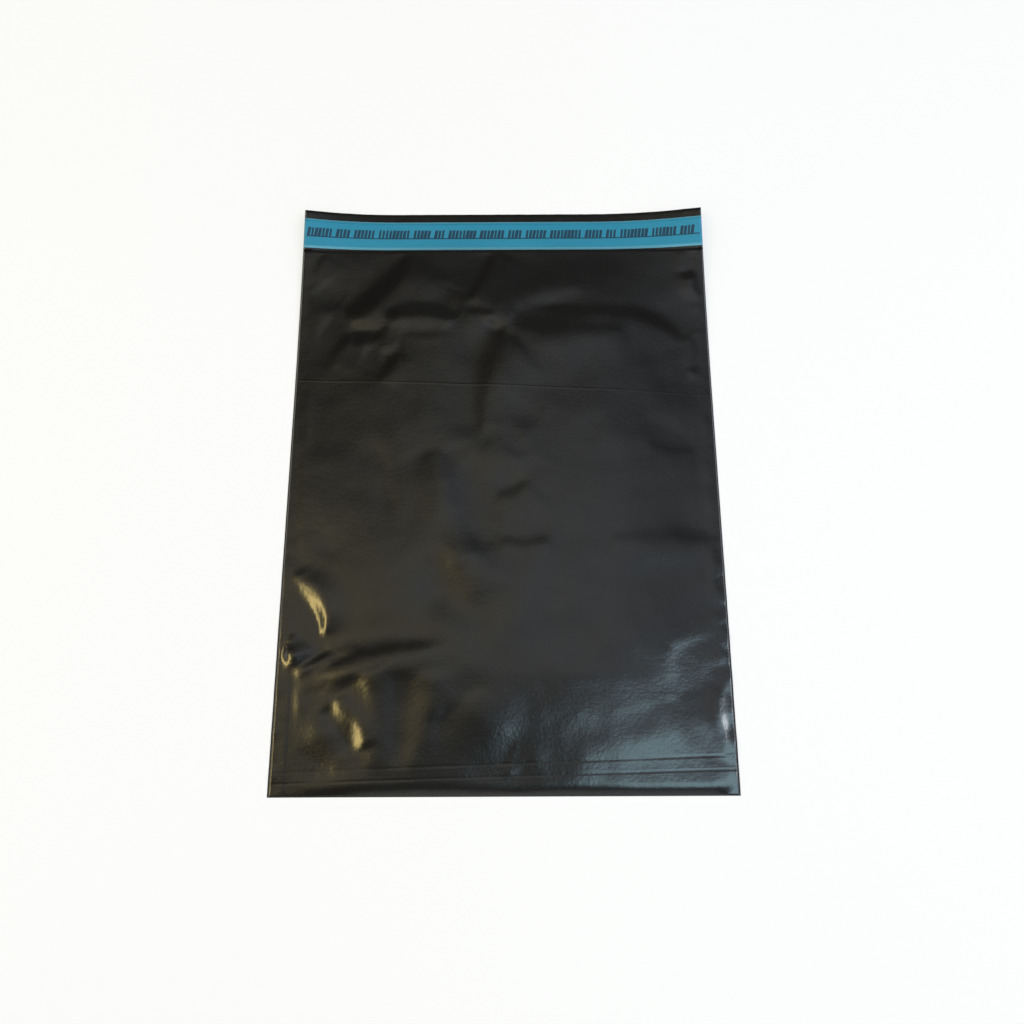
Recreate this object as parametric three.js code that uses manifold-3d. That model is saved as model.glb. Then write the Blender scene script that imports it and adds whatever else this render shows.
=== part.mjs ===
// A poly mailer bag lying flat on its back wall, empty and still unsealed.
// One web of black film is folded at the bottom and hot-cut and welded down both sides.
// The back wall runs on past the mouth as a lip, which carries a hot-melt adhesive strip under
// a blue release liner. Millimetres, +Z up, +Y towards the lip, origin under the middle.

import * as THREE from "three";
import { mergeVertices } from "three/addons/utils/BufferGeometryUtils.js";
import Module from "manifold-3d";

const wasm = await Module();
wasm.setup();

// Film
const bagWidth = 305;
const pocketDepth = 406;
const lipLength = 36;
const filmThickness = 0.06;
const sealWidth = 5; // the welded band down each side
const foldPress = 1.5; // film lies on film this far in from the bottom fold

// Air under the front wall
const airHeight = 7.4;
const mouthHeight = 5.6;
const mouthRun = 70; // over this length the front wall comes down to the mouth
const sideShoulder = 26;
const bottomShoulder = 34;
const foldUnit = 1; // the loose folds are placed and sized in this

// The two lip corners curl up off the table
const leftCurlRise = 7.5;
const leftCurlWidth = 70;
const rightCurlRise = 9;
const rightCurlWidth = 83;
const curlLength = 150;

// Closure strip on the lip
const linerMargin = 7; // bare film between the lip's edge and the liner
const linerWidth = 25;
const linerThickness = 0.05;
const adhesiveThickness = 0.1;
const linerOverhang = 3; // the liner stands past the adhesive on both long edges

// Printed marks on the liner
const markInset = 7.2; // from the liner's top edge to the marks
const markHeight = 8;
const markWidth = 1.7;
const markPitch = 3;
const markSlant = 1.2;
const markRule = 0.9; // the line that the marks stand on
const markEndMargin = 2;
const markGroups = [7, 4, 6, 9, 5, 3, 8]; // marks in each group, with one place left empty after it
const inkThickness = 0.03;
const inkClearance = 0.02;

// Mesh cells
const cellSize = 12.6;

// Places that follow from the sizes
const totalLength = pocketDepth + lipLength;
const left = -bagWidth / 2;
const right = bagWidth / 2;
const bottom = -totalLength / 2;
const mouth = bottom + pocketDepth;
const lipEdge = mouth + lipLength;
const linerTop = lipEdge - linerMargin;
const linerBottom = linerTop - linerWidth;
const adhesiveTop = linerTop - linerOverhang;
const adhesiveBottom = linerBottom + linerOverhang;

// Folds in the front wall, each a soft ridge (or, with a negative rise, a trough) along a path.
// reach is the distance from the path at which it has fallen to about a third. at() places a
// point of the path from two edges of the bag. All of it is in fold units.
const fold = (reach, rise, ...path) => ({ reach: reach * foldUnit, rise: rise * foldUnit, path });
const at = (edgeX, x, edgeY, y) => [edgeX + x * foldUnit, edgeY + y * foldUnit];
const folds = [
  // under the mouth
  fold(13, 3.2, at(left, 92, mouth, -4), at(left, 50, mouth, -52)),
  fold(10, -1.5, at(left, 62, mouth, -2), at(left, 22, mouth, -44)),
  fold(9, 2.6, at(left, 146, mouth, -4), at(left, 133, mouth, -34)),
  fold(9, -1.2, at(left, 128, mouth, -2), at(left, 112, mouth, -38)),
  fold(13, 2.6, at(right, -140, mouth, -34), at(right, -96, mouth, -26), at(right, -46, mouth, -30)),
  fold(10, 4, at(right, -9, mouth, -26), at(right, -22, mouth, -52)),
  // the long trough across the upper half and the swell below it
  fold(8, -1.8, at(left, 66, mouth, -55), at(left, 152, mouth, -54)),
  fold(10, -1.9, at(right, -148, mouth, -56), at(right, -46, mouth, -56), at(right, -16, mouth, -78)),
  fold(16, 3.2, at(right, -142, mouth, -88), at(right, -98, mouth, -84), at(right, -54, mouth, -92)),
  fold(9, 2.4, at(left, 78, mouth, -66), at(left, 150, mouth, -68)),
  // the arch at the upper left and the ridge that runs down from it
  fold(9, 3.4, at(left, 26, mouth, -100), at(left, 56, mouth, -64), at(left, 82, mouth, -84)),
  fold(11, 2.8, at(left, 56, mouth, -144), at(left, 66, mouth, -176), at(left, 80, mouth, -214)),
  // the wedge down the middle with its knuckle
  fold(11, -1.6, at(left, 160, mouth, -72), at(left, 142, mouth, -132), at(left, 138, mouth, -160)),
  fold(12, 3.2, at(left, 172, mouth, -82), at(left, 160, mouth, -130)),
  fold(13, 4.6, at(left, 141, mouth, -186), at(left, 166, mouth, -176)),
  fold(8, -1.6, at(left, 112, mouth, -158), at(left, 138, mouth, -220), at(left, 156, mouth, -234)),
  fold(12, 4.4, at(left, 106, bottom, 178), at(left, 120, bottom, 152), at(left, 133, bottom, 128)),
  // right side
  fold(11, 3, at(right, -52, bottom, 268), at(right, -14, bottom, 256)),
  fold(8, -1.4, at(right, -48, bottom, 248), at(right, -10, bottom, 238)),
  fold(9, -1.5, at(right, -88, bottom, 172), at(right, -6, bottom, 179)),
  fold(11, 2.8, at(right, -92, bottom, 154), at(right, -8, bottom, 158)),
  fold(10, 3, at(right, -44, bottom, 84), at(right, -12, bottom, 104)),
  fold(15, 2.8, at(right, -98, bottom, 44), at(right, -48, bottom, 48), at(right, -8, bottom, 66)),
  // lower left, where the film is gathered towards the weld
  fold(9, 5.5, at(left, 4, bottom, 142), at(left, 19, bottom, 129), at(left, 29, bottom, 104)),
  fold(11, 4.6, at(left, 12, bottom, 79), at(left, 52, bottom, 96), at(left, 146, bottom, 106)),
  fold(8, -1.5, at(left, 20, bottom, 66), at(left, 70, bottom, 84), at(left, 130, bottom, 90)),
  fold(9, 4.6, at(left, 40, bottom, 56), at(left, 52, bottom, 44), at(left, 60, bottom, 30)),
  fold(12, 4.8, at(left, 88, bottom, 24), at(left, 100, bottom, 52), at(left, 124, bottom, 78)),
  fold(8, 2.2, at(left, 157, bottom, 16), at(left, 168, bottom, 40)),
];

// Rises from 0 to 1 over the run, and levels out there
const rampUp = (distance, run) => {
  const share = THREE.MathUtils.clamp(distance / run, 0, 1);
  return 1 - (1 - share) ** 2;
};

// Rises from 0, level at first, to 1 at the end of the run
const curlUp = (distance, run) => Math.max(distance / run, 0) ** 2;

const flatPoint = ([x, y]) => new THREE.Vector3(x, y, 0);

const foldLines = folds.map(({ path }) =>
  path.slice(1).map((end, k) => new THREE.Line3(flatPoint(path[k]), flatPoint(end))),
);

function distanceToLines(lines, point) {
  const nearest = new THREE.Vector3();
  const distances = lines.map((line) =>
    line.closestPointToPoint(point, true, nearest).distanceTo(point),
  );
  return Math.min(...distances);
}

// Height of the back wall's underside over the table
function backHeight(x, y) {
  const alongSide = curlUp(y - (lipEdge - curlLength), curlLength);
  const atLeft = leftCurlRise * curlUp(left + leftCurlWidth - x, leftCurlWidth);
  const atRight = rightCurlRise * curlUp(x - (right - rightCurlWidth), rightCurlWidth);
  return (atLeft + atRight) * alongSide;
}

// Clear height between the back wall and the front wall
function pocketGap(x, y) {
  const fromSeal = bagWidth / 2 - sealWidth - Math.abs(x);
  const fromFold = y - (bottom + foldPress);
  const shape = rampUp(fromSeal, sideShoulder) * rampUp(fromFold, bottomShoulder);
  const air = mouthHeight + (airHeight - mouthHeight) * rampUp(mouth - y, mouthRun);
  const here = flatPoint([x, y]);
  let swell = 0;
  folds.forEach(({ reach, rise }, k) => {
    swell += rise * Math.exp(-((distanceToLines(foldLines[k], here) / reach) ** 2));
  });
  return shape * Math.max(air + swell, mouthHeight);
}

function evenSteps(from, to) {
  const count = Math.max(1, Math.round((to - from) / cellSize));
  return Array.from({ length: count }, (_, k) => from + ((to - from) * k) / count);
}

const columns = [left, ...evenSteps(left + sealWidth, right - sealWidth), right - sealWidth, right];
const pocketRows = [bottom, ...evenSteps(bottom + foldPress, mouth)];
const lipRows = [
  mouth,
  linerBottom,
  ...evenSteps(adhesiveBottom, adhesiveTop),
  adhesiveTop,
  linerTop,
  lipEdge,
];
const rows = [...pocketRows, ...lipRows];
const lastColumn = columns.length - 1;
const lastRow = rows.length - 1;
const mouthRow = pocketRows.length;

// Collects faces between named layers of grid points, and closes them into a geometry
class SheetMesh {
  constructor() {
    this.points = [];
    this.faces = [];
    this.known = new Map();
  }

  point(layer, i, j, z) {
    const key = `${layer} ${i} ${j}`;
    if (!this.known.has(key)) {
      this.known.set(key, this.points.length / 3);
      this.points.push(columns[i], rows[j], z);
    }
    return this.known.get(key);
  }

  // corners run counterclockwise as seen from outside
  polygon(first, ...others) {
    for (let k = 1; k < others.length; k++) this.faces.push(first, others[k - 1], others[k]);
  }

  // one cell of a layer, with its diagonal turned from cell to cell
  cell(at, i, j, facesUp) {
    const corners = [at(i, j), at(i + 1, j), at(i + 1, j + 1), at(i, j + 1)];
    if ((i + j) % 2) corners.push(corners.shift());
    const [a, b, c, d] = corners;
    if (facesUp) this.polygon(a, b, c, d);
    else this.polygon(a, d, c, b);
  }

  geometry() {
    const made = new THREE.BufferGeometry();
    made.setAttribute("position", new THREE.Float32BufferAttribute(this.points, 3));
    made.setIndex(this.faces);
    made.computeVertexNormals();
    return made;
  }
}

// The folded and welded film: four layers of points, from the underside up
function filmGeometry() {
  const mesh = new SheetMesh();
  const isSealed = (i, j) => i <= 1 || i >= lastColumn - 1 || j <= 1;
  const back = (i, j) => backHeight(columns[i], rows[j]);
  const gap = (i, j) => (isSealed(i, j) ? 0 : pocketGap(columns[i], rows[j]));

  const underside = (i, j) => mesh.point("underside", i, j, back(i, j));
  const backInside = (i, j) => mesh.point("backInside", i, j, back(i, j) + filmThickness);
  const frontInside = (i, j) =>
    isSealed(i, j)
      ? backInside(i, j)
      : mesh.point("frontInside", i, j, back(i, j) + filmThickness + gap(i, j));
  const front = (i, j) =>
    mesh.point("front", i, j, back(i, j) + gap(i, j) + 2 * filmThickness);

  for (let j = 0; j < lastRow; j++) {
    for (let i = 0; i < lastColumn; i++) {
      const inPocket = j < mouthRow;
      const isOpen = inPocket && i >= 1 && i < lastColumn - 1 && j >= 1;
      mesh.cell(underside, i, j, false);
      if (inPocket) mesh.cell(front, i, j, true);
      if (isOpen) mesh.cell(frontInside, i, j, false);
      if (isOpen || !inPocket) mesh.cell(backInside, i, j, true);
    }
  }

  // side edges; where the weld ends at the mouth, the lip's edge starts half way up it
  for (let j = 0; j < lastRow; j++) {
    const top = j < mouthRow ? front : backInside;
    const meetsLip = j === mouthRow - 1;
    const sideEdge = (i) => [
      underside(i, j),
      top(i, j),
      top(i, j + 1),
      ...(meetsLip ? [backInside(i, j + 1)] : []),
      underside(i, j + 1),
    ];
    const [start, ...others] = sideEdge(lastColumn);
    mesh.polygon(...sideEdge(0));
    mesh.polygon(start, ...others.reverse());
  }

  // bottom fold, lip's edge and the mouth's edge
  for (let i = 0; i < lastColumn; i++) {
    mesh.polygon(underside(i, 0), underside(i + 1, 0), front(i + 1, 0), front(i, 0));
    mesh.polygon(
      underside(i + 1, lastRow),
      underside(i, lastRow),
      backInside(i, lastRow),
      backInside(i + 1, lastRow),
    );
    mesh.polygon(
      frontInside(i + 1, mouthRow),
      frontInside(i, mouthRow),
      front(i, mouthRow),
      front(i + 1, mouthRow),
    );
  }
  return mesh.geometry();
}

// A strip that lies along the lip between two heights above the table
function stripGeometry(fromY, toY, clearOfFilm, thickness) {
  const mesh = new SheetMesh();
  const firstRow = rows.indexOf(fromY);
  const endRow = rows.indexOf(toY);
  const height = (i, j) => backHeight(columns[i], rows[j]) + filmThickness + clearOfFilm;
  const low = (i, j) => mesh.point("low", i, j, height(i, j));
  const high = (i, j) => mesh.point("high", i, j, height(i, j) + thickness);

  for (let j = firstRow; j < endRow; j++) {
    for (let i = 0; i < lastColumn; i++) {
      mesh.cell(low, i, j, false);
      mesh.cell(high, i, j, true);
    }
    mesh.polygon(low(0, j), high(0, j), high(0, j + 1), low(0, j + 1));
    mesh.polygon(
      low(lastColumn, j + 1),
      high(lastColumn, j + 1),
      high(lastColumn, j),
      low(lastColumn, j),
    );
  }
  for (let i = 0; i < lastColumn; i++) {
    mesh.polygon(low(i, firstRow), low(i + 1, firstRow), high(i + 1, firstRow), high(i, firstRow));
    mesh.polygon(low(i + 1, endRow), low(i, endRow), high(i, endRow), high(i + 1, endRow));
  }
  return mesh.geometry();
}

function asSolid(geometry) {
  const bare = geometry.clone();
  bare.deleteAttribute("normal");
  bare.deleteAttribute("uv");
  const merged = mergeVertices(bare, 1e-5);
  return new wasm.Manifold(
    new wasm.Mesh({
      numProp: 3,
      vertProperties: new Float32Array(merged.attributes.position.array),
      triVerts: new Uint32Array(merged.index.array),
    }),
  );
}

function asGeometry(solid) {
  const { vertProperties, triVerts } = solid.getMesh();
  const made = new THREE.BufferGeometry();
  made.setAttribute("position", new THREE.BufferAttribute(vertProperties, 3));
  made.setIndex(new THREE.BufferAttribute(triVerts, 1));
  made.computeVertexNormals();
  return made;
}

// Slanted marks in groups, standing on one thin line, cut out of a skin over the liner
function printGeometry() {
  const marksTop = linerTop - markInset;
  const marksBottom = marksTop - markHeight;
  const firstMark = left + markEndMargin;
  const endMark = right - markEndMargin;

  // one comb-shaped outline: the line, with every mark a tooth on it
  const comb = new THREE.Shape();
  comb.moveTo(firstMark, marksBottom);
  comb.lineTo(endMark, marksBottom);
  comb.lineTo(endMark, marksBottom + markRule);
  const teeth = [];
  let groupIndex = 0;
  let leftInGroup = markGroups[0];
  for (let x = firstMark; x + markWidth + markSlant <= endMark; x += markPitch) {
    if (leftInGroup > 0) {
      teeth.push(x);
      leftInGroup -= 1;
    } else {
      groupIndex = (groupIndex + 1) % markGroups.length;
      leftInGroup = markGroups[groupIndex];
    }
  }
  for (const x of teeth.reverse()) {
    comb.lineTo(x + markWidth, marksBottom + markRule);
    comb.lineTo(x + markWidth + markSlant, marksTop);
    comb.lineTo(x + markSlant, marksTop);
    comb.lineTo(x, marksBottom + markRule);
  }
  comb.lineTo(firstMark, marksBottom + markRule);

  const tallEnough = leftCurlRise + rightCurlRise + linerWidth;
  const cutter = new THREE.ExtrudeGeometry(comb, { depth: 2 * tallEnough, bevelEnabled: false });
  cutter.translate(0, 0, -tallEnough);
  const clearOfFilm = adhesiveThickness + linerThickness + inkClearance;
  const skin = stripGeometry(linerBottom, linerTop, clearOfFilm, inkThickness);
  return asGeometry(asSolid(skin).intersect(asSolid(cutter)));
}

const blackFilm = new THREE.MeshStandardMaterial({
  color: 0x26231f,
  roughness: 0.38,
  metalness: 0,
  side: THREE.DoubleSide,
});
const adhesive = new THREE.MeshStandardMaterial({
  color: 0xd8c795,
  roughness: 0.3,
  metalness: 0,
});
const blueLiner = new THREE.MeshStandardMaterial({
  color: 0x3a97bb,
  roughness: 0.45,
  metalness: 0,
});
const navyInk = new THREE.MeshStandardMaterial({
  color: 0x1c3f62,
  roughness: 0.6,
  metalness: 0,
});

function named(name, geometry, material) {
  const mesh = new THREE.Mesh(geometry, material);
  mesh.name = name;
  return mesh;
}

const mailer = new THREE.Group();
mailer.add(named("film_bag", filmGeometry(), blackFilm));
mailer.add(
  named(
    "adhesive_strip",
    stripGeometry(adhesiveBottom, adhesiveTop, 0, adhesiveThickness),
    adhesive,
  ),
);
mailer.add(
  named(
    "release_liner",
    stripGeometry(linerBottom, linerTop, adhesiveThickness, linerThickness),
    blueLiner,
  ),
);
mailer.add(named("liner_print", printGeometry(), navyInk));

export default mailer;
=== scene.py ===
# A black poly mailer bag lying flat, with a blue release liner over the adhesive on its lip.
import math
import random

import bpy
import numpy as np
from mathutils import Matrix, Vector, noise
from mathutils.bvhtree import BVHTree


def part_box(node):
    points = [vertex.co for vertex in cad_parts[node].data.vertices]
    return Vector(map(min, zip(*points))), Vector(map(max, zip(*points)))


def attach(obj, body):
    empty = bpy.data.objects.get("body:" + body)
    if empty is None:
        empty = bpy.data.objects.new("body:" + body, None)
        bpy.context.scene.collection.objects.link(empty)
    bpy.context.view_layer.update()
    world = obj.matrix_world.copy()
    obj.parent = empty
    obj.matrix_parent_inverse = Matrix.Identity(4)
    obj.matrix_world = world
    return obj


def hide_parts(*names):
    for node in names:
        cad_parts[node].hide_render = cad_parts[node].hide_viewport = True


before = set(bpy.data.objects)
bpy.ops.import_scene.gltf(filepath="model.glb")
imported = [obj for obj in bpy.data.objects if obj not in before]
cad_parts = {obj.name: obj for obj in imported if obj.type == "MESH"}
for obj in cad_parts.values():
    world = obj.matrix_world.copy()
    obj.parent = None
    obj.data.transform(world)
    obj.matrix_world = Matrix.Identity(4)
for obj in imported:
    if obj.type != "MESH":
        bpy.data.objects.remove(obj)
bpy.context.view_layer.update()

# Camera
# It looks down on the bag from the bottom fold's side, as the photograph was taken. Its place
# and lens come from the bag's corners and edges in the picture.
MM = 0.001
LOOK_AT = Vector((6.05, -25.6, 0.0)) * MM
CAMERA_AWAY = 806.1 * MM
TILT_FROM_VERTICAL = math.radians(20.36)
ROLL = math.radians(-0.24)
LENS_MM = 40.33
SENSOR_MM = 36.0
NEAREST_SEEN = 10 * MM

eye_data = bpy.data.cameras.new("camera")
eye_data.lens = LENS_MM
eye_data.sensor_width = SENSOR_MM
eye_data.clip_start = NEAREST_SEEN
eye = bpy.data.objects.new("camera", eye_data)
bpy.context.scene.collection.objects.link(eye)
eye.matrix_world = (
    Matrix.Translation(LOOK_AT)
    @ Matrix.Rotation(TILT_FROM_VERTICAL, 4, "X")
    @ Matrix.Translation((0, 0, CAMERA_AWAY))
    @ Matrix.Rotation(ROLL, 4, "Z")
)
bpy.context.scene.camera = eye


# Film
# One web of black polyethylene film, folded at the bottom and hot-cut and welded down both
# sides, so that the two walls hold a little air between them. The back wall runs on as the lip.
FRONT_WALL_DEPTH = 408 * MM
LINER_TOP = 214 * MM
LINER_BOTTOM = 189 * MM
ADHESIVE_TOP = 211 * MM
ADHESIVE_BOTTOM = 192 * MM
WELD_WIDTH = 4.5 * MM
WELD_WIDENING = 5.5 * MM
RIGHT_WELD_WIDTH = 2.0 * MM
FILM_THICKNESS = 0.06 * MM
CREASE_LENGTH = 1.5 * MM
CELL = 2.4 * MM
AIR_HEIGHT = 3.0 * MM
SIDE_STEP = 0.25 * MM
FOLD_ROLL_RISE = 1.4 * MM
FOLD_ROLL_RUN = 7 * MM
LEAST_GAP = 0.12 * MM
PATH_SAMPLES = 60

bag_low, bag_high = (Vector(corner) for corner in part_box("film_bag"))
LEFT, RIGHT = bag_low.x, bag_high.x
BOTTOM, LIP_EDGE = bag_low.y, bag_high.y
MOUTH = BOTTOM + FRONT_WALL_DEPTH


def evenly(start, end, step=CELL):
    count = max(1, round((end - start) / step))
    return list(np.linspace(start, end, count + 1)[:-1])


columns = np.array(
    evenly(LEFT, LEFT + WELD_WIDTH)
    + evenly(LEFT + WELD_WIDTH, RIGHT - RIGHT_WELD_WIDTH)
    + evenly(RIGHT - RIGHT_WELD_WIDTH, RIGHT)
    + [RIGHT]
)
pocket_rows = [BOTTOM] + evenly(BOTTOM + CREASE_LENGTH, MOUTH)
lip_rows = (
    [MOUTH]
    + evenly((MOUTH + LINER_BOTTOM) / 2, LINER_BOTTOM)
    + evenly(LINER_BOTTOM, ADHESIVE_BOTTOM)
    + evenly(ADHESIVE_BOTTOM, ADHESIVE_TOP)
    + evenly(ADHESIVE_TOP, LINER_TOP)
    + evenly(LINER_TOP, LIP_EDGE)
    + [LIP_EDGE]
)
rows = np.array(pocket_rows + lip_rows)
left_line = len(evenly(LEFT, LEFT + WELD_WIDTH))
right_line = len(columns) - 1 - len(evenly(RIGHT - RIGHT_WELD_WIDTH, RIGHT))
mouth_row = len(pocket_rows)
X, Y = np.meshgrid(columns, rows)


def smooth(low, high, value):
    """0 at low and 1 at high, with a soft start and end. Low may lie above high."""
    share = np.clip((value - low) / (high - low), 0, 1)
    return share * share * (3 - 2 * share)


def blurred(heights, reach):
    """A grid of heights averaged over a reach in cells, with its edge values held."""
    steps = np.arange(-3 * reach, 3 * reach + 1)
    weights = np.exp(-0.5 * (steps / reach) ** 2)
    weights /= weights.sum()
    for axis in (0, 1):
        pad = [(0, 0), (0, 0)]
        pad[axis] = (3 * reach, 3 * reach)
        wide = np.pad(heights, pad, mode="edge")
        heights = sum(
            w * np.take(wide, np.arange(k, k + heights.shape[axis]), axis=axis)
            for k, w in enumerate(weights)
        )
    return heights


def underside_of(node):
    """Heights of a CAD node's underside over the grid, found with rays from below."""
    mesh = bpy.data.objects[node].data
    tree = BVHTree.FromPolygons(
        [v.co for v in mesh.vertices], [tuple(p.vertices) for p in mesh.polygons]
    )
    nudge = 0.02 * MM
    heights = np.zeros_like(X)
    for j, y in enumerate(rows):
        for i, x in enumerate(columns):
            below = Vector((0, 0, -1))
            below.x = min(max(x, LEFT + nudge), RIGHT - nudge)
            below.y = min(max(y, BOTTOM + nudge), LIP_EDGE - nudge)
            hit = tree.ray_cast(below, Vector((0, 0, 1)))[0]
            heights[j, i] = hit.z if hit else 0.0
    return heights


def spline(points):
    """Values along a smooth curve through the given ones."""
    p = np.array(points, float)
    p = np.vstack([2 * p[0] - p[1], p, 2 * p[-1] - p[-2]])
    along = np.linspace(0, len(p) - 3 - 1e-9, PATH_SAMPLES)
    k = along.astype(int)
    t = (along - k)[:, None]
    a, b, c, d = p[k], p[k + 1], p[k + 2], p[k + 3]
    return 0.5 * (
        2 * b + (c - a) * t + (2 * a - 5 * b + 4 * c - d) * t**2 + (3 * b - a - 3 * c + d) * t**3
    )


def near_path(points, reach):
    """For the grid points within reach of a path: where they are in the grid, their signed
    distance from it (positive on its left) and the number of the nearest sample."""
    line = spline(points) * MM
    near = (
        (X > line[:, 0].min() - reach)
        & (X < line[:, 0].max() + reach)
        & (Y > line[:, 1].min() - reach)
        & (Y < line[:, 1].max() + reach)
    )
    ahead = np.gradient(line, axis=0)
    away = np.hypot(X[near][:, None] - line[None, :, 0], Y[near][:, None] - line[None, :, 1])
    at = away.argmin(axis=1)
    turn = ahead[at, 0] * (Y[near] - line[at, 1]) - ahead[at, 1] * (X[near] - line[at, 0])
    return near, np.where(turn > 0, 1, -1) * away.min(axis=1), at


def ridge(points, rise, left_run, right_run, sharp=0.25, start=0.3, end=0.3):
    """A crest along the points, falling away over a run on each side. It grows and dies over
    the shares start and end of its length. A negative rise makes a furrow."""
    near, offset, at = near_path(points, 6 * max(left_run, right_run) * MM)
    share = offset / (np.where(offset > 0, left_run, right_run) * MM)
    along = at / (PATH_SAMPLES - 1)
    grown = smooth(0, start, along) * smooth(0, end, 1 - along)
    made = np.zeros_like(X)
    made[near] = rise * MM * grown * np.exp(sharp - np.sqrt(share**2 + sharp**2))
    return made


def facet(points, half_widths, slope, recover=(18, 18), crisp=4, ends=0.12):
    """A band along the points in which the film falls to the left of the path by the slope.
    Outside it the height comes back over the two recovering lengths, left and right. A higher
    crisp keeps the band flatter up to its edges, and it fades in over the share ends."""
    near, offset, at = near_path(points, 4 * max(recover) * MM)
    half = np.maximum(spline([(w, w) for w in half_widths])[at, 0], 0.3) * MM
    share = offset / half
    inside = share / (1 + np.abs(share) ** crisp) ** (1 / crisp)
    beyond = np.maximum(np.abs(offset) - half, 0)
    back_over = np.where(offset > 0, recover[0], recover[1]) * MM
    along = at / (PATH_SAMPLES - 1)
    grown = smooth(0, ends, along) * smooth(0, ends, 1 - along)
    made = np.zeros_like(X)
    made[near] = -slope * half * grown * inside * np.exp(-((beyond / back_over) ** 2))
    return made


def waves(scale, x_stretch=1.0, y_stretch=1.0, seed=0.0):
    """Smooth random heights from about -1 to 1 over the grid."""
    made = np.zeros_like(X)
    for j in range(X.shape[0]):
        for i in range(X.shape[1]):
            place = (X[j, i] / scale * x_stretch, Y[j, i] / scale * y_stretch, seed)
            made[j, i] = noise.noise(Vector(place))
    return made


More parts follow.
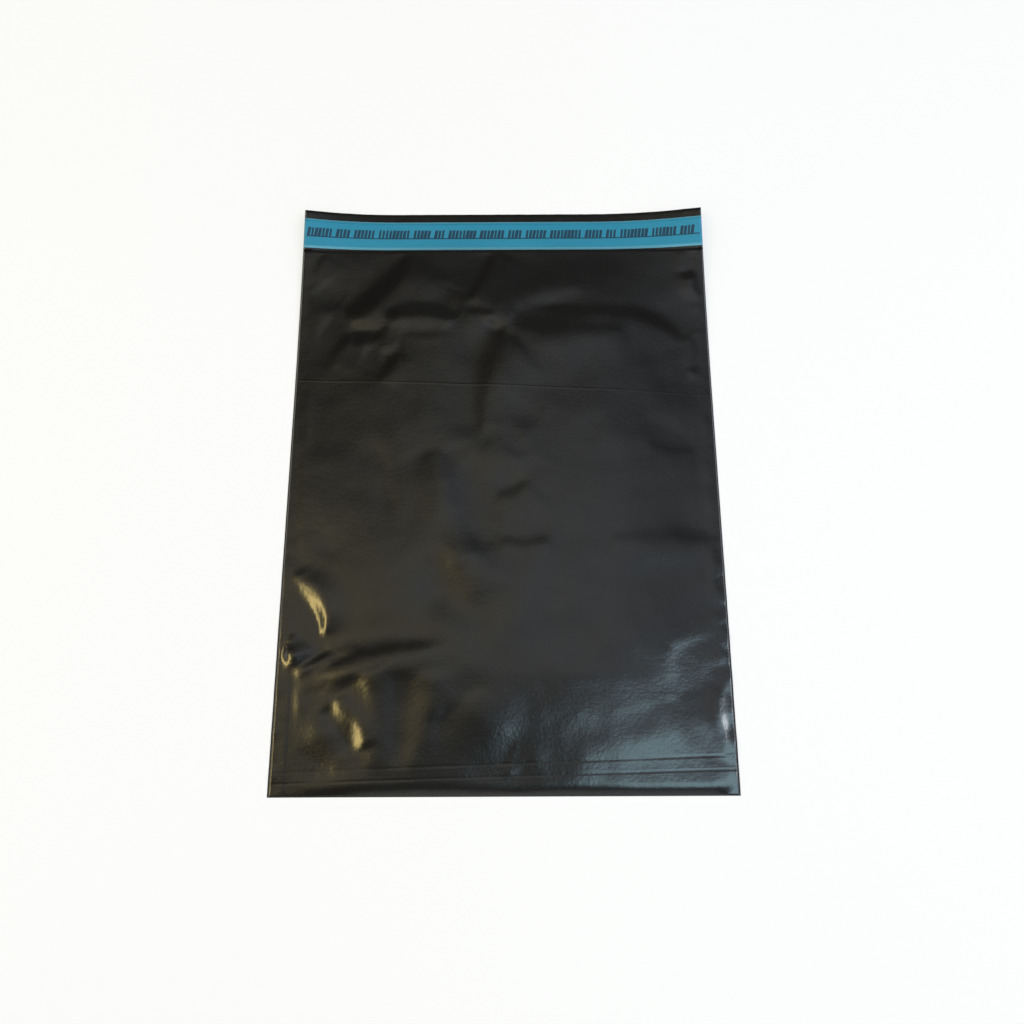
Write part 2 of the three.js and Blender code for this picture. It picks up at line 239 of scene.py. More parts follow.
# Points are in millimetres from the middle of the bag, +Y towards the lip
film_facets = [
    # under the mouth
    facet([(-68, 186), (-84, 162), (-98, 145), (-118, 127)], [3, 6, 7, 5], -0.14),
    facet([(-6, 186), (-15, 165), (-27, 141)], [3, 4, 2], -0.13),
    facet([(-136, 184), (-142, 174), (-147, 164)], [1.5, 2.5, 1.5], -0.12),
    facet([(-146, 152), (-136, 140), (-126, 134)], [3, 4, 2], 0.10),
    facet([(-64, 140), (-50, 150), (-40, 160)], [3, 7, 3], -0.04),
    facet([(18, 141), (38, 146), (62, 152)], [2, 5, 3], -0.05),
    # the long slope across the upper half, and the arches beside it
    facet([(-93, 130), (-75, 134), (-58, 135), (-45, 132), (-33, 126)], [3, 5, 5, 4, 2], 0.16),
    facet([(-29, 134), (-18, 133), (-8, 130)], [1.5, 2.5, 1.5], 0.14),
    facet([(-88, 122), (-58, 123), (-36, 121)], [2, 4, 2], -0.05),
    facet([(-76, 114), (-56, 113), (-38, 114)], [1.5, 2.5, 1.5], 0.08),
    facet([(-13, 121), (-4, 125), (4, 121)], [2, 5, 2], -0.10),
    facet(
        [(16, 136), (60, 134), (95, 132), (112, 127), (126, 117), (134, 106)],
        [2.5, 5, 5.5, 5.5, 4, 2],
        0.11,
    ),
    facet([(6, 122), (45, 119), (96, 118)], [5, 8, 5], 0.09, crisp=2.5),
    facet(
        [(-130, 84), (-124, 101), (-114, 112), (-100, 115), (-90, 110)],
        [1.5, 3, 3, 3, 2],
        0.12,
    ),
    facet([(-116, 121), (-103, 123), (-90, 119)], [2, 3.5, 2], -0.08),
    facet([(-112, 106), (-104, 110), (-97, 106)], [1.5, 3, 1.5], 0.10),
    facet([(-91, 100), (-84, 102), (-77, 106)], [2, 3, 2], -0.08),
    facet([(-79, 99), (-84, 88), (-91, 76)], [2, 3.5, 2], -0.12),
    facet([(139, 114), (143, 101), (139, 86)], [1, 2.5, 1], 0.10),
    # the wedge down the middle, and its knuckle
    facet(
        [(6, 116), (-5, 104), (-12, 86), (-17, 58), (-18, 26)],
        [6, 10, 9, 6, 3],
        -0.12,
        crisp=2.5,
    ),
    facet([(-24, 18), (-10, 6), (2, 3), (14, 8), (19, 17)], [3, 7, 7, 5, 2], -0.045),
    facet([(-6, -14), (6, -12), (18, -3)], [2, 4, 2], 0.09),
    facet([(8, 38), (15, 40), (23, 37)], [4, 7, 4], 0.04),
    facet([(-2, -46), (14, -50), (34, -46)], [2, 4, 3], 0.09),
    # long soft bands down the left half
    facet([(-112, 44), (-108, 0), (-98, -50)], [8, 22, 12], 0.035, (12, 12), crisp=1.5, ends=0.4),
    facet(
        [(-96, 38), (-85, 14), (-78, -14), (-69, -48)],
        [2, 4, 4.5, 2],
        -0.05,
        (12, 16),
        crisp=2.5,
        ends=0.3,
    ),
    facet([(-58, 24), (-55, -10), (-50, -46)], [4, 8, 5], -0.045, (12, 12), crisp=2, ends=0.4),
    facet([(-46, 24), (-37, 0), (-28, -36), (-12, -62)], [3, 7, 8, 4], 0.085, crisp=2),
    facet([(-128, -38), (-126, -52), (-120, -62)], [2, 4, 2], 0.05),
    facet(
        [(-47, -40), (-39, -60), (-30, -82), (-20, -110)],
        [1.5, 7, 11, 5],
        -0.15,
        crisp=1.8,
        ends=0.4,
    ),
    facet([(-10, -58), (-8, -90), (-16, -126)], [6, 15, 9], -0.05, crisp=1.6, ends=0.35),
    # right side
    facet([(102, 46), (117, 44), (131, 33)], [3, 5, 2], -0.04),
    facet([(103, 27), (118, 21), (138, 21)], [2, 4, 3], 0.075, crisp=2.2),
    facet([(72, -46), (109, -45), (151, -44)], [3, 6, 6], 0.07),
    facet([(60, -78), (104, -64), (151, -59)], [3, 6, 6], -0.04),
    facet([(110, -132), (118, -123), (148, -112)], [1.5, 3, 2], -0.045),
    facet([(117, -126), (112, -141), (116, -160)], [2, 5, 4], 0.04),
    facet([(40, -190), (74, -181), (112, -168), (152, -163)], [4, 7, 8, 6], 0.022, (30, 12)),
    # lower left
    facet([(-143, -138), (-130, -132), (-116, -125)], [2, 3, 1.5], 0.22, (8, 8)),
    facet([(-143, -146), (-118, -132), (-98, -125)], [1.5, 2.2, 1.5], -0.10, (10, 10)),
    facet(
        [(-140, -151), (-112, -133), (-84, -125), (-60, -122), (-30, -119)],
        [3, 7, 7, 5, 2],
        0.18,
        crisp=2.2,
        ends=0.25,
    ),
    facet([(-142, -155), (-116, -147), (-90, -141)], [2, 4, 3], -0.07),
    facet([(-98, -140), (-90, -162), (-90, -208)], [7, 8, 5], -0.08, (10, 8), crisp=2),
    facet(
        [(-115, -159), (-107, -169), (-99, -180), (-94, -193)],
        [2.5, 5.5, 6, 3],
        -0.155,
        (8, 10),
        crisp=10,
    ),
    facet(
        [(-136, -191), (-120, -192), (-94, -199)],
        [7, 12, 7],
        -0.06,
        (10, 6),
        crisp=6,
        ends=0.45,
    ),
    facet([(-58, -138), (-59, -172), (-64, -206)], [10, 8, 2], -0.075, (8, 10), crisp=2.2),
    facet([(-56, -175), (-38, -167), (-20, -155)], [3, 5, 3], -0.10, crisp=1.8, ends=0.35),
    facet([(-38, -172), (-26, -161), (-12, -150)], [2, 3, 2], 0.05),
    facet(
        [(-58, -206), (-26, -192), (6, -180), (22, -176)],
        [4, 11, 10, 6],
        -0.045,
        crisp=2,
        ends=0.4,
    ),
]
# Folds that reach the side welds, the curved one at the lower left first
edge_facets = [
    facet(
        [(-149, -72), (-142, -81), (-134, -90), (-128, -102), (-127, -116)],
        [3.5, 7, 9.5, 7.5, 2.5],
        -0.115,
        (10, 20),
        crisp=10,
    ),
    facet([(-147, 84), (-146, 30), (-144, -20), (-142, -58)], [1.5, 2.5, 2.5, 1], -0.12, (4, 4)),
    facet([(-150, -118), (-138, -117), (-124, -121)], [8, 12, 4], 0.19, (10, 6)),
    facet([(-147, -104), (-145, -111), (-148, -118)], [2, 4, 2], -0.28, (3, 3)),
    facet([(-140, -150), (-139, -158), (-138, -168)], [1.2, 2.5, 1.2], -0.11, (5, 5)),
    facet([(147, -148), (146, -168), (149, -200)], [2, 5, 1.5], 0.20, (4, 6), crisp=8),
    facet([(147, 168), (147, 156), (150, 143)], [3, 4, 2], 0.27, (7, 8), ends=0.35),
    facet([(140, 186), (141, 176), (139, 167)], [2, 3, 2], 0.12, (6, 6)),
]
# Thin whiskers in the film, near the bottom and by the right weld
film_ridges = [
    ridge([(1, -209), (6, -196), (12, -183)], 0.30, 1.3, 1.3, 0.2, 0.1, 0.5),
    ridge([(2, -209), (10, -200), (17, -192)], 0.25, 1.3, 1.3, 0.2, 0.1, 0.5),
    ridge([(-121, -208), (-117, -203)], 0.5, 1.6, 1.6),
    ridge([(136, 86), (143, 78)], 0.5, 2.5, 2.5),
]

# Short puckers that run in from the side welds, tightest where the photo shows them bunched
dice = random.Random(11)
puckers = []
for side, edge in ((-1, LEFT / MM), (1, RIGHT / MM)):
    y = -214.0
    while y < 178:
        bunched = -165 < y < -55
        length = dice.uniform(5, 13) if bunched else dice.uniform(4, 9)
        slant = dice.uniform(-5, 5)
        rise = dice.uniform(-0.35, 0.4) if bunched else dice.uniform(-0.2, 0.25)
        run = dice.uniform(1.6, 3.2)
        path = [(edge - side * 3, y), (edge - side * (4 + length), y + slant)]
        puckers.append(ridge(path, rise, run, run, 0.3, 0.3, 0.6))
        y += dice.uniform(4, 9) if bunched else dice.uniform(7, 18)

loose = 0.50 * MM * waves(46 * MM, seed=3.1) + 0.17 * MM * waves(17 * MM, seed=8.4)
crinkle = 0.035 * MM * waves(6 * MM, seed=5.7)

# How far the walls have come apart at each distance from the welds, the fold and the mouth
left_start = LEFT + WELD_WIDTH + WELD_WIDENING * smooth(-120 * MM, -150 * MM, Y)
from_left = X - left_start
from_right = RIGHT - RIGHT_WELD_WIDTH - X
from_fold = Y - (BOTTOM + CREASE_LENGTH)
stepped = (
    smooth(0, 9 * MM, from_left) * smooth(0, 5 * MM, from_right) * smooth(0, 6 * MM, from_fold)
)
swollen = (
    smooth(0, 130 * MM, from_left) * smooth(0, 80 * MM, from_right) * smooth(0, 80 * MM, from_fold)
)
folding = (
    smooth(0, 12 * MM, from_left) * smooth(0, 5 * MM, from_right) * smooth(0, 8 * MM, from_fold)
)
off_welds = smooth(0, 3 * MM, X - LEFT - WELD_WIDTH) * smooth(0, 3 * MM, from_right)
near_mouth = smooth(MOUTH - 50 * MM, MOUTH, Y)
still_round = 1 - np.clip((Y - BOTTOM) / FOLD_ROLL_RUN, 0, 1)
right_run = 14 * MM + 60 * MM * smooth(0, 90 * MM, from_fold)
rolled = (1 - still_round**2) * smooth(0, 60 * MM, from_left) * smooth(0, right_run, from_right)

gap = AIR_HEIGHT * swollen * (1 - 0.5 * near_mouth) + SIDE_STEP * stepped
gap = gap + FOLD_ROLL_RISE * rolled
gap = gap + folding * (sum(film_facets) + loose) + stepped * sum(film_ridges)
gap = gap + off_welds * smooth(0, 4 * MM, from_fold) * (sum(edge_facets + puckers) + crinkle)
gap = np.maximum(gap, LEAST_GAP * off_welds)

# The back wall follows the CAD bag. The cut edges flutter a little, and the lip has ripples.
back = np.maximum(blurred(underside_of("film_bag"), 2), 0)
from_side = np.minimum(X - LEFT, RIGHT - X)
flutter = smooth(14 * MM, 0, from_side) * (0.25 + 0.75 * smooth(-30 * MM, -80 * MM, Y))
lip_ripple = smooth(ADHESIVE_TOP, LIP_EDGE, Y)
back = back + 0.9 * MM * flutter * np.abs(waves(15 * MM, 0.5, 1.0, 4.4))
back = back + 0.35 * MM * lip_ripple * np.abs(waves(8 * MM, 1.0, 0.3, 2.2))


class SheetMesh:
    """Faces between named layers of grid points."""

    def __init__(self):
        self.points = []
        self.faces = []
        self.known = {}

    def point(self, layer, i, j, height):
        key = (layer, i, j)
        if key not in self.known:
            self.known[key] = len(self.points)
            self.points.append((columns[i], rows[j], height))
        return self.known[key]

    def cell(self, at, i, j, faces_up):
        corners = (at(i, j), at(i + 1, j), at(i + 1, j + 1), at(i, j + 1))
        self.faces.append(corners if faces_up else corners[::-1])

    def made(self, name):
        mesh = bpy.data.meshes.new(name)
        mesh.from_pydata(self.points, [], self.faces)
        mesh.shade_smooth()
        piece = bpy.data.objects.new(name, mesh)
        bpy.context.scene.collection.objects.link(piece)
        return piece


last_column = len(columns) - 1
last_row = len(rows) - 1
film = SheetMesh()


def is_sealed(i, j):
    return i <= left_line or i >= right_line or j <= 1


def underside(i, j):
    return film.point("underside", i, j, back[j, i])


def back_inside(i, j):
    return film.point("back_inside", i, j, back[j, i] + FILM_THICKNESS)


def front_inside(i, j):
    if is_sealed(i, j):
        return back_inside(i, j)
    return film.point("front_inside", i, j, back[j, i] + FILM_THICKNESS + gap[j, i])


def front(i, j):
    """The outer face. It stands off the back wall from the second row up, over the crease."""
    opened = gap[j, i] if j > 0 and left_line < i < right_line else 0
    return film.point("front", i, j, back[j, i] + 2 * FILM_THICKNESS + opened)


for j in range(last_row):
    for i in range(last_column):
        in_pocket = j < mouth_row
        is_open = in_pocket and left_line <= i < right_line and j >= 1
        film.cell(underside, i, j, False)
        if in_pocket:
            film.cell(front, i, j, True)
        if is_open:
            film.cell(front_inside, i, j, False)
        if is_open or not in_pocket:
            film.cell(back_inside, i, j, True)

for j in range(last_row):
    top = front if j < mouth_row else back_inside
    for i, turned in ((0, False), (last_column, True)):
        edge = [underside(i, j), top(i, j), top(i, j + 1)]
        if j == mouth_row - 1:
            edge.append(back_inside(i, j + 1))
        edge.append(underside(i, j + 1))
        film.faces.append(tuple(edge[::-1] if turned else edge))

for i in range(last_column):
    film.faces.append((underside(i, 0), underside(i + 1, 0), front(i + 1, 0), front(i, 0)))
    film.faces.append(
        (
            underside(i + 1, last_row),
            underside(i, last_row),
            back_inside(i, last_row),
            back_inside(i + 1, last_row),
        )
    )
    film.faces.append(
        (
            front_inside(i + 1, mouth_row),
            front_inside(i, mouth_row),
            front(i, mouth_row),
            front(i + 1, mouth_row),
        )
    )

film_piece = film.made("mailer_film")


class Wire:
    """What comes out of a node's socket. Arithmetic on it adds Math nodes."""

    def __init__(self, socket):
        self.socket = socket

    @classmethod
    def node(cls, tree, kind, settings=None, values=None, output=0):
        """Makes any node: its settings first, then the values or links of its sockets."""
        made = tree.nodes.new(kind)
        for name, setting in (settings or {}).items():
            if name == "stops":
                elements = made.color_ramp.elements
                while len(elements) < len(setting):
                    elements.new(0.5)
                for stop, (place, grey) in zip(elements, setting):
                    stop.position = place
                    stop.color = (grey, grey, grey, 1)
            else:
                setattr(made, name, setting)
        for name, value in (values or {}).items():
            socket = made.inputs[name]
            if isinstance(value, Wire):
                tree.links.new(value.socket, socket)
            else:
                socket.default_value = value
        return cls(made.outputs[output])

    def math(self, operation, *others):
        values = dict(enumerate((self, *others)))
        return Wire.node(self.socket.id_data, "ShaderNodeMath", {"operation": operation}, values)

    def __add__(self, other):
        return self.math("ADD", other)

    __radd__ = __add__

    def __mul__(self, other):
        return self.math("MULTIPLY", other)

    __rmul__ = __mul__

    def __sub__(self, other):
        return self.math("SUBTRACT", other)

    def __rsub__(self, other):
        return Wire.node(
            self.socket.id_data, "ShaderNodeMath", {"operation": "SUBTRACT"}, {0: other, 1: self}
        )

    def __truediv__(self, other):
        return self.math("DIVIDE", other)

    def step(self, low, high):
        """0 below low and 1 above high, smoothly."""
        return Wire.node(
            self.socket.id_data,
            "ShaderNodeMapRange",
            {"interpolation_type": "SMOOTHSTEP"},
            {"Value": self, "From Min": low, "From Max": high},
        )

    def bump(self, width):
        """1 where the value is 0, falling to nothing at the width on both sides."""
        return 1 - self.math("ABSOLUTE").step(0.0, width)


def finish(name):
    """A new material with its node tree, its shader, and the place on the piece."""
    material = bpy.data.materials.new(name)
    material.use_nodes = True
    tree = material.node_tree
    place = Wire.node(tree, "ShaderNodeTexCoord", output="Object")
    return material, tree, tree.nodes["Principled BSDF"], place


def feed(shader, socket_name, value):
    value.socket.id_data.links.new(value.socket, shader.inputs[socket_name])


def axes_of(tree, place):
    return [Wire.node(tree, "ShaderNodeSeparateXYZ", None, {0: place}, k) for k in range(3)]


def stretched(tree, place, scale):
    return Wire.node(tree, "ShaderNodeMapping", None, {"Vector": place, "Scale": scale})


def grain(tree, place, scale, detail=3.0):
    return Wire.node(
        tree, "ShaderNodeTexNoise", None, {"Vector": place, "Scale": scale, "Detail": detail}
    )


def tint(tree, share, low, high):
    """A colour between two, each given as three numbers or as a wire."""
    low, high = (end if isinstance(end, Wire) else (*end, 1) for end in (low, high))
    return Wire.node(
        tree,
        "ShaderNodeMix",
        {"data_type": "RGBA"},
        {"Factor": share, "A": low, "B": high},
        "Result",
    )


def film_finish():
    material, tree, shader, place = finish("black_polyethylene")
    x, y, _ = axes_of(tree, place)
    cloud = grain(tree, place, 14.0, 4.0)
    streaks = grain(tree, stretched(tree, place, (60.0, 900.0, 60.0)), 1.0, 2.0)
    skin = grain(tree, place, 420.0, 3.0)
    specks = grain(tree, place, 900.0, 0.0).step(0.72, 0.78)
    black = tint(tree, cloud, (0.0050, 0.0047, 0.0044), (0.0080, 0.0073, 0.0066))
    feed(shader, "Base Color", black)
    feed(shader, "Roughness", 0.13 + 0.05 * cloud + 0.04 * streaks)
    shader.inputs["IOR"].default_value = 1.51

    # fine creases: the packing fold across the bag, two near the bottom, a step by the left weld
    packing = (y - 0.0712 + 0.045 * x).bump(0.0011) * (1 - 0.6 * x.step(0.02, 0.10))
    low_fold = (y + 0.2005 - 0.035 * x).bump(0.0018) * (1 - 0.6 * x.step(0.0, -0.10))
    lower_fold = (y + 0.2085 - 0.028 * x).bump(0.0016)
    beside_weld = x.step(-0.1428, -0.1412) * (1 - y.step(-0.155, -0.140))
    creases = 0.55 * packing - 0.75 * low_fold - 0.6 * lower_fold - beside_weld
    height = 0.65 * skin + 0.10 * streaks + 0.12 * specks + creases
    bump = Wire.node(
        tree, "ShaderNodeBump", None, {"Height": height, "Strength": 0.5, "Distance": 0.0002}
    )
    feed(shader, "Normal", bump)
    return material


film_piece.data.materials.append(film_finish())
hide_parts("film_bag")
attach(film_piece, "root")


# Adhesive strip
# A band of pale amber hot-melt adhesive, rolled on along the lip's inner face while hot. It
# stays tacky, and the liner covers it until the bag is closed.
ADHESIVE_THICKNESS = 0.1 * MM
ABOVE_FILM = 0.004 * MM
SHORT_OF_LINER = 0.01 * MM


def strip(name, from_y, to_y, clear_of_film, thickness):
    """A closed strip that lies along the lip between two of the film's rows."""
    made = SheetMesh()
    first = int(np.abs(rows - from_y).argmin())
    end = int(np.abs(rows - to_y).argmin())

    def low(i, j):
        return made.point("low", i, j, back[j, i] + FILM_THICKNESS + clear_of_film)

    def high(i, j):
        return made.point("high", i, j, back[j, i] + FILM_THICKNESS + clear_of_film + thickness)

    for j in range(first, end):
        for i in range(last_column):
            made.cell(low, i, j, False)
            made.cell(high, i, j, True)
        made.faces.append((low(0, j), high(0, j), high(0, j + 1), low(0, j + 1)))
        i = last_column
        made.faces.append((low(i, j + 1), high(i, j + 1), high(i, j), low(i, j)))
    for i in range(last_column):
        made.faces.append((low(i, first), low(i + 1, first), high(i + 1, first), high(i, first)))
        made.faces.append((low(i + 1, end), low(i, end), high(i, end), high(i + 1, end)))
    return made.made(name)


adhesive_piece = strip(
    "hot_melt_band",
    ADHESIVE_BOTTOM,
    ADHESIVE_TOP,
    ABOVE_FILM,
    ADHESIVE_THICKNESS - SHORT_OF_LINER,
)


def adhesive_finish():
    material, tree, shader, place = finish("hot_melt_adhesive")
    runs = grain(tree, stretched(tree, place, (30.0, 600.0, 30.0)), 1.0, 2.0)
    feed(shader, "Base Color", tint(tree, runs, (0.60, 0.47, 0.22), (0.72, 0.62, 0.36)))
    feed(shader, "Roughness", 0.22 + 0.2 * runs)
    bump = Wire.node(tree, "ShaderNodeBump", None, {"Height": runs, "Distance": 0.0002})
    feed(shader, "Normal", bump)
    return material


adhesive_piece.data.materials.append(adhesive_finish())
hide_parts("adhesive_strip")
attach(adhesive_piece, "root")


# Release liner
# A strip of blue silicone-coated film, slit from a wide roll and laid over the adhesive. It
# stands past the adhesive on both long edges, where fingers lift it.
LINER_THICKNESS = 0.05 * MM
liner_piece = strip(
    "release_liner_strip", LINER_BOTTOM, LINER_TOP, ADHESIVE_THICKNESS, LINER_THICKNESS
)


def liner_finish():
    material, tree, shader, place = finish("blue_release_liner")
    _, y, _ = axes_of(tree, place)
    cloud = grain(tree, stretched(tree, place, (22.0, 90.0, 22.0)), 1.0, 4.0)
    fine = grain(tree, stretched(tree, place, (260.0, 700.0, 260.0)), 1.0, 3.0)
    body = tint(tree, cloud * 0.7 + fine * 0.3, (0.012, 0.19, 0.305), (0.026, 0.25, 0.40))
    # painted highlight: both long edges of the liner are paler in colour, where the light catches
    # them
    top_edge_highlight = (float(LINER_TOP) - y).step(0.0016, 0.0004)
    bottom_edge_highlight = (y - float(LINER_BOTTOM)).step(0.0030, 0.0006)
    painted_edge_highlight = top_edge_highlight.math("MAXIMUM", bottom_edge_highlight)
    feed(shader, "Base Color", tint(tree, painted_edge_highlight * 0.75, body, (0.13, 0.36, 0.47)))
    feed(shader, "Roughness", 0.40 + 0.12 * cloud)
    bump = Wire.node(
        tree, "ShaderNodeBump", None, {"Height": fine, "Strength": 0.3, "Distance": 0.0002}
    )
    feed(shader, "Normal", bump)
    return material


liner_piece.data.materials.append(liner_finish())
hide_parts("release_liner")
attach(liner_piece, "root")


# Printed marks
# Navy ink, printed on the liner from a raised rubber plate: plain slanted marks in groups,
# standing on a thin line.
MARK_TOP = LINER_TOP - 7.2 * MM
MARK_HEIGHT = 8.0 * MM
MARK_WIDTH = 2.1 * MM
MARK_PITCH = 2.7 * MM
MARK_SLANT = 1.2 * MM
RULE_HEIGHT = 0.9 * MM
MARK_END_MARGIN = 2.0 * MM
MARK_GROUPS = [7, 4, 6, 9, 5, 3, 8]
INK_THICKNESS = 0.03 * MM
INK_CLEARANCE = 0.02 * MM

mark_places = []
group, left_in_group = 0, MARK_GROUPS[0]
mark_x = LEFT + MARK_END_MARGIN
while mark_x + MARK_WIDTH + MARK_SLANT <= RIGHT - MARK_END_MARGIN:
    if left_in_group:
        mark_places.append((mark_x + (MARK_WIDTH + MARK_SLANT) / 2, MARK_TOP - MARK_HEIGHT / 2, 0))
        left_in_group -= 1
    else:
        group = (group + 1) % len(MARK_GROUPS)
        left_in_group = MARK_GROUPS[group]
    mark_x += MARK_PITCH

ink_mesh = bpy.data.meshes.new("ink_places")
ink_mesh.from_pydata(mark_places, [], [])
ink_points = bpy.data.objects.new("ink_places", ink_mesh)
bpy.context.scene.collection.objects.link(ink_points)


def ink_finish():
    material, tree, shader, place = finish("navy_ink")
    wear = grain(tree, place, 900.0, 3.0)
    feed(shader, "Base Color", tint(tree, wear, (0.002, 0.016, 0.045), (0.010, 0.060, 0.11)))
    feed(shader, "Roughness", 0.45 + 0.15 * wear)
    return material


ink = ink_finish()
marks_tree = bpy.data.node_groups.new("slanted_marks", "GeometryNodeTree")
marks_tree.interface.new_socket("Places", in_out="INPUT", socket_type="NodeSocketGeometry")
size_sockets = {}
for socket_name, size in (
    ("Mark Width", MARK_WIDTH),
    ("Mark Height", MARK_HEIGHT),
    ("Mark Slant", MARK_SLANT),
    ("Rule Length", RIGHT - LEFT - 2 * MARK_END_MARGIN),
    ("Rule Height", RULE_HEIGHT),
    ("Rule Y", MARK_TOP - MARK_HEIGHT + RULE_HEIGHT / 2),
    ("Ink Thickness", INK_THICKNESS),
    ("Ink Clearance", INK_CLEARANCE),
):
    made = marks_tree.interface.new_socket(
        socket_name, in_out="INPUT", socket_type="NodeSocketFloat"
    )
    size_sockets[made.identifier] = float(size)
marks_tree.interface.new_socket("Marks", in_out="OUTPUT", socket_type="NodeSocketGeometry")
sizes_in = marks_tree.nodes.new("NodeGroupInput")
asked = {socket.name: Wire(socket) for socket in sizes_in.outputs if socket.name}


def vector(tree, x, y, z):
    return Wire.node(tree, "ShaderNodeCombineXYZ", None, {"X": x, "Y": y, "Z": z})


def moved(tree, geometry, offset):
    return Wire.node(
        tree, "GeometryNodeSetPosition", None, {"Geometry": geometry, "Offset": offset}
    )


bar = Wire.node(
    marks_tree,
    "GeometryNodeMeshCube",
    None,
    {
        "Size": vector(
            marks_tree, asked["Mark Width"], asked["Mark Height"], asked["Ink Thickness"]
        ),
        "Vertices Y": 5,
    },
)
position = Wire.node(marks_tree, "GeometryNodeInputPosition")
at_x, at_y, _ = axes_of(marks_tree, position)
lean = at_y / asked["Mark Height"] * asked["Mark Slant"]
bar = moved(marks_tree, bar, vector(marks_tree, lean, 0.0, 0.0))
pressed = Wire.node(
    marks_tree,
    "FunctionNodeRandomValue",
    {"data_type": "FLOAT_VECTOR"},
    {"Min": (0.7, 0.9, 1.0), "Max": (1.15, 1.0, 1.0), "Seed": 4},
)
bars = Wire.node(
    marks_tree,
    "GeometryNodeInstanceOnPoints",
    None,
    {"Points": asked["Places"], "Instance": bar, "Scale": pressed},
)
rule = Wire.node(
    marks_tree,
    "GeometryNodeMeshCube",
    None,
    {
        "Size": vector(
            marks_tree, asked["Rule Length"], asked["Rule Height"], asked["Ink Thickness"]
        ),
        "Vertices X": 126,
    },
)
rule = moved(marks_tree, rule, vector(marks_tree, 0.0, asked["Rule Y"], 0.0))
joined = marks_tree.nodes.new("GeometryNodeJoinGeometry")
for wire in (bars, rule):
    marks_tree.links.new(wire.socket, joined.inputs[0])
flat_marks = Wire.node(
    marks_tree, "GeometryNodeRealizeInstances", None, {0: Wire(joined.outputs[0])}
)
liner_surface = Wire.node(
    marks_tree, "GeometryNodeObjectInfo", None, {"Object": liner_piece}, "Geometry"
)
landed = Wire.node(
    marks_tree,
    "GeometryNodeRaycast",
    None,
    {
        "Target Geometry": liner_surface,
        "Source Position": vector(marks_tree, at_x, at_y, 1.0),
        "Ray Direction": (0.0, 0.0, -1.0),
        "Ray Length": 2.0,
    },
    "Hit Position",
)
landed_z = axes_of(marks_tree, landed)[2]
lift = landed_z + asked["Ink Thickness"] * 0.5 + asked["Ink Clearance"]
laid = moved(marks_tree, flat_marks, vector(marks_tree, 0.0, 0.0, lift))
inked = Wire.node(marks_tree, "GeometryNodeSetMaterial", None, {"Geometry": laid, "Material": ink})
marks_tree.links.new(inked.socket, marks_tree.nodes.new("NodeGroupOutput").inputs[0])

printing = ink_points.modifiers.new("printing", "NODES")
printing.node_group = marks_tree
for identifier, size in size_sockets.items():
    printing[identifier] = size
printed = bpy.data.meshes.new_from_object(
    ink_points.evaluated_get(bpy.context.evaluated_depsgraph_get())
)
bpy.data.objects.remove(ink_points)
printed.name = "liner_marks"
marks_piece = bpy.data.objects.new("liner_marks", printed)
bpy.context.scene.collection.objects.link(marks_piece)
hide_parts("liner_print")
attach(marks_piece, "root")


# Floor and light
# A plain white table under a soft ceiling with a darker beam, a cool window and its bright pane
# to the right, and a small warm lamp to the left.
FLOOR_HALF = 3.0
FLOOR_DROP = 0.2 * MM
FLOOR_WHITE_SHARE = 0.65
floor_mesh = bpy.data.meshes.new("floor")
floor_mesh.from_pydata(
    [(-FLOOR_HALF, -FLOOR_HALF, 0), (FLOOR_HALF, -FLOOR_HALF, 0)]
    + [(FLOOR_HALF, FLOOR_HALF, 0), (-FLOOR_HALF, FLOOR_HALF, 0)],
    [],
    [(0, 1, 2, 3)],
)
floor = bpy.data.objects.new("floor", floor_mesh)
floor.location.z = -FLOOR_DROP
bpy.context.scene.collection.objects.link(floor)


def floor_finish():
    material, tree, shader, _ = finish("white_table")
    shader.inputs["Base Color"].default_value = (0.86, 0.86, 0.86, 1)
    shader.inputs["Roughness"].default_value = 0.9
    seen = Wire.node(tree, "ShaderNodeLightPath", output="Is Camera Ray")
    white = Wire.node(tree, "ShaderNodeEmission", None, {"Color": (1, 1, 1, 1), "Strength": 1.0})
    shown = Wire.node(
        tree,
        "ShaderNodeMixShader",
        None,
        {0: seen * FLOOR_WHITE_SHARE, 1: Wire(shader.outputs[0]), 2: white},
    )
    tree.links.new(shown.socket, tree.nodes["Material Output"].inputs["Surface"])
    return material


floor_mesh.materials.append(floor_finish())

world = bpy.data.worlds.new("studio")
bpy.context.scene.world = world
world.use_nodes = True
sky = world.node_tree
towards = Wire.node(sky, "ShaderNodeTexCoord", output="Generated")
east, north, _ = axes_of(sky, towards)
# from south to north: the wall behind the camera, the dark ceiling overhead, its bright part
# beyond the bag, and the dark far wall
ceiling = Wire.node(
    sky,
    "ShaderNodeValToRGB",
    {
        "stops": [
            (0.26, 0.55),
            (0.35, 0.10),
            (0.50, 0.08),
            (0.56, 0.20),
            (0.60, 0.41),
            (0.63, 0.49),
            (0.66, 0.45),
            (0.69, 0.38),
            (0.74, 0.20),
            (0.79, 0.05),
            (1.0, 0.06),
        ]
    },
    {"Fac": north * 0.5 + 0.5},
)
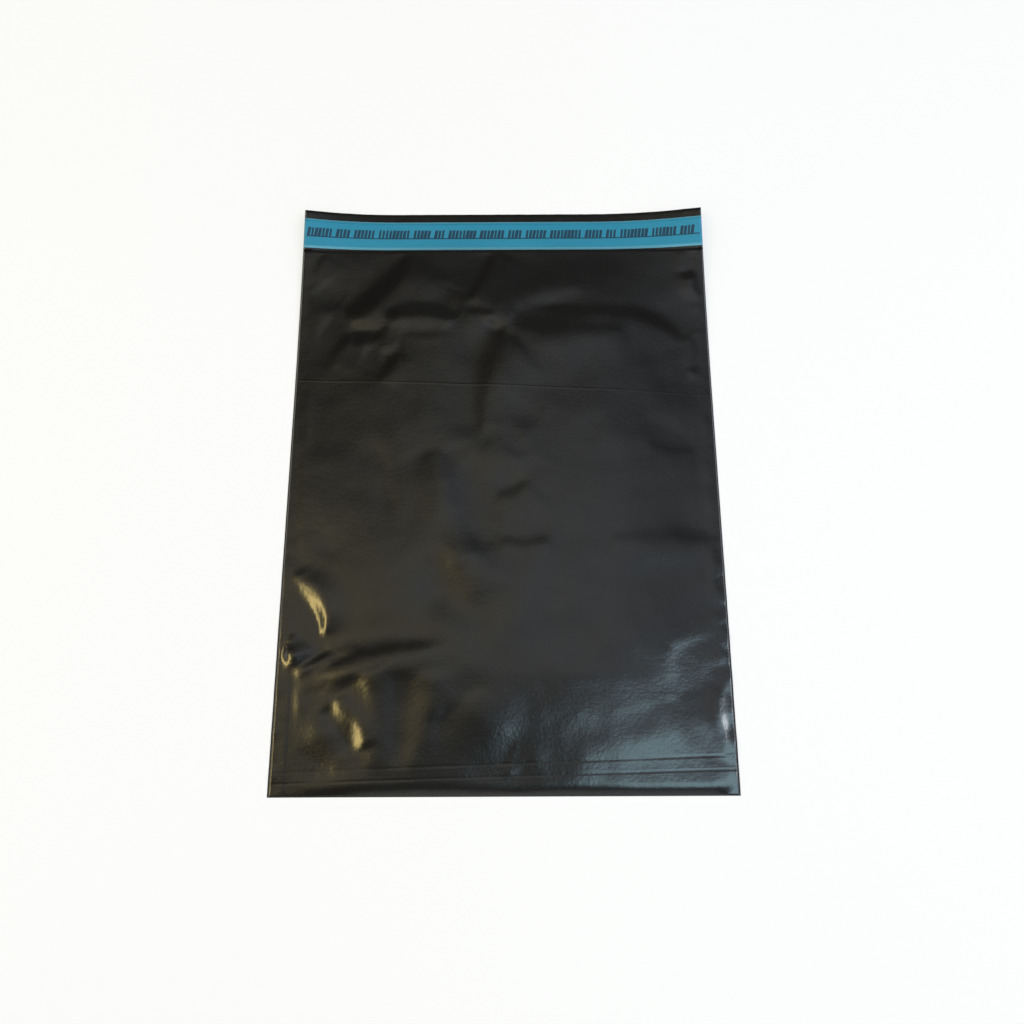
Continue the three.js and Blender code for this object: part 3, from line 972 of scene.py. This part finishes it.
# a bright band on both side walls, the ceiling's spread from left to right, and the dark beam
sideways = east.math("ABSOLUTE")
side_walls = sideways.step(0.55, 0.75) * (2.5 - 2.2 * sideways.step(0.80, 0.93))
across = 0.42 + 1.48 * east.step(-0.32, -0.05) - 1.1 * east.step(0.10, 0.45)
beam = 1 - 0.45 * (east + 0.205).bump(0.05)
level = ceiling * across * beam + side_walls
# the lamp's round, warm glow on the ceiling
from_glow = ((east + 0.31) * (east + 0.31) + (north - 0.20) * (north - 0.20)).math("SQRT")
warm_glow = (1 - from_glow.step(0.05, 0.27)) * 0.75
side_tint = tint(sky, east.step(-0.14, 0.14), (1.03, 1.0, 0.85), (0.94, 1.0, 1.12))
ceiling_light = Wire.node(
    sky, "ShaderNodeVectorMath", {"operation": "SCALE"}, {0: side_tint, "Scale": level}
)
glow_light = Wire.node(
    sky, "ShaderNodeVectorMath", {"operation": "SCALE"}, {0: (1.0, 0.86, 0.55), "Scale": warm_glow}
)
lit = Wire.node(
    sky, "ShaderNodeVectorMath", {"operation": "ADD"}, {0: ceiling_light, 1: glow_light}
)
seen = Wire.node(sky, "ShaderNodeLightPath", output="Is Camera Ray")
shown = tint(sky, seen, lit, (1, 1, 1))
sky.links.new(shown.socket, sky.nodes["Background"].inputs["Color"])


def lamp(name, place, turn, width, depth, radiance, colour):
    """A rectangular lamp that hangs level and faces down, of a given radiance."""
    light = bpy.data.lights.new(name, "AREA")
    light.shape = "RECTANGLE"
    light.size = width
    light.size_y = depth
    light.energy = radiance * math.pi * width * depth
    light.color = colour
    holder = bpy.data.objects.new(name, light)
    holder.location = place
    holder.rotation_euler = (0, 0, math.radians(turn))
    bpy.context.scene.collection.objects.link(holder)


lamp("cool_window", (0.594, -0.164, 1.5), 22, 0.86, 0.38, 4.2, (0.57, 0.94, 1.02))
lamp("window_glow", (0.72, -0.13, 1.52), 22, 1.10, 0.60, 1.2, (0.72, 0.84, 1.12))
lamp("bright_pane", (1.15, 0.10, 1.5), 0, 0.18, 0.18, 40, (0.85, 0.93, 1.0))
lamp("warm_lamp", (-0.92, 0.0, 1.5), 0, 0.18, 0.60, 21, (1.0, 0.77, 0.29))

bpy.context.scene.view_settings.view_transform = "Standard"
